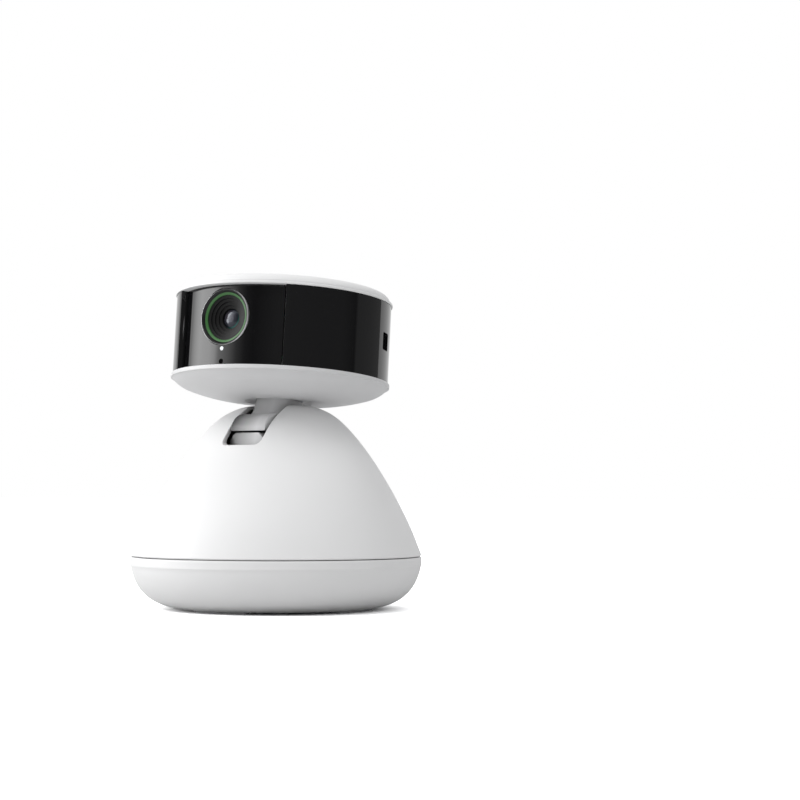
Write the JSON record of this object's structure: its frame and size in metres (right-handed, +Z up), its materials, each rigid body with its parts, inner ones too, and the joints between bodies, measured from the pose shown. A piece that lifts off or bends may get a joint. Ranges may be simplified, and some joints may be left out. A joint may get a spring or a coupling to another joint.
{
  "type": "pan and tilt pet camera",
  "caption": "Free-standing camera on a cone-shaped base: a drum head with a wide lens nods on a neck in a slot, and the cone turns on its base ring.",
  "frame": {"origin": "on the supporting surface, under the centre of the base ring", "axes": "+Z up along the pan axis, -Y is the way the camera looks, +X to the left as the lens looks out, along the tilt axle"},
  "size_m": [0.0944, 0.0944, 0.1064],
  "materials": {
    "white_plastic": "satin white moulding",
    "pale_plastic": "satin light grey moulding",
    "grey_plastic": "satin mid grey moulding",
    "black_gloss": "high gloss black",
    "black_matte": "matt black",
    "inner_plastic": "plain moulded carrier",
    "gear_plastic": "natural acetal",
    "green_trim": "green translucent trim ring",
    "lens_glass": "coated front element",
    "clear_plastic": "clear moulded acrylic",
    "steel": "zinc plated",
    "iron": "plain ballast",
    "aluminium": "plain sheet",
    "brass": "plain turned",
    "rubber": "soft grey rubber",
    "circuit_board": "green solder mask",
    "antenna_film": "flexible printed film"
  },
  "bodies": {
    "base": {"base_shell": "white_plastic", "base_plate": "white_plastic", "foot_front": "rubber", "foot_right": "rubber", "foot_rear": "rubber", "foot_left": "rubber", "plate_screws": "steel", "base_weight": "iron", "base_deck": "inner_plastic", "bearing_ring": "gear_plastic", "pan_gear": "gear_plastic", "retaining_ring": "inner_plastic", "base_board": "circuit_board", "usb_c_port": "steel"},
    "turntable": {"turntable": "inner_plastic", "housing": "white_plastic", "housing_screws": "steel", "pan_motor": "steel", "tilt_frame": "inner_plastic", "tilt_motor": "steel", "axle_bushes": "brass", "speaker": "black_matte", "speaker_gasket": "rubber"},
    "pan_pinion": {"pan_pinion": "gear_plastic"},
    "tilt_pinion": {"tilt_pinion": "gear_plastic"},
    "setup_button": {"setup_button": "black_gloss"},
    "head": {"antenna": "antenna_film", "axle_clip": "steel", "button_board": "circuit_board", "chip_shield": "steel", "head_band": "black_gloss", "head_bowl": "pale_plastic", "head_frame": "black_matte", "head_screws": "steel", "heat_spreader": "aluminium", "infrared_leds": "clear_plastic", "led_boards": "circuit_board", "lens_barrel": "black_matte", "lens_bezel": "black_gloss", "lens_glass": "lens_glass", "lens_holder": "black_matte", "lens_ring": "green_trim", "lens_window": "black_gloss", "main_board": "circuit_board", "microphone": "steel", "neck_base": "pale_plastic", "neck_nut": "inner_plastic", "neck_shell": "grey_plastic", "sensor_board": "circuit_board", "status_light": "clear_plastic", "tilt_axle": "steel", "tilt_gear": "gear_plastic", "top_cover": "white_plastic"}
  },
  "joints": [
    {"name": "pan", "type": "hinge", "parent": "base", "child": "turntable", "pos_m": [0, 0, 0.0179], "axis": [0, 0, 1], "range_deg": [-170, 170]},
    {"name": "tilt", "type": "hinge", "parent": "turntable", "child": "head", "pos_m": [0, 0, 0.055], "axis": [1, 0, 0], "range_deg": [-15, 25]},
    {"name": "setup_press", "type": "slide", "parent": "head", "child": "setup_button", "axis": [-0.9636, -0.2663, 0.0228], "range_m": [0, 0.0005], "stiffness_N_per_m": 800, "springref_m": -0.0006},
    {"name": "pan_drive", "type": "hinge", "parent": "turntable", "child": "pan_pinion", "pos_m": [0, -0.0208, 0.0165], "axis": [0, 0, 1], "range_deg": [-570, 570]},
    {"name": "tilt_drive", "type": "hinge", "parent": "turntable", "child": "tilt_pinion", "pos_m": [-0.0108, 0.01244, 0.04256], "axis": [1, 0, 0], "range_deg": [-70, 45]}
  ],
  "couplings": [
    {"joint": "pan_drive", "follows": "pan", "ratio": 3.3333},
    {"joint": "tilt_drive", "follows": "tilt", "ratio": -2.6667}
  ]
}
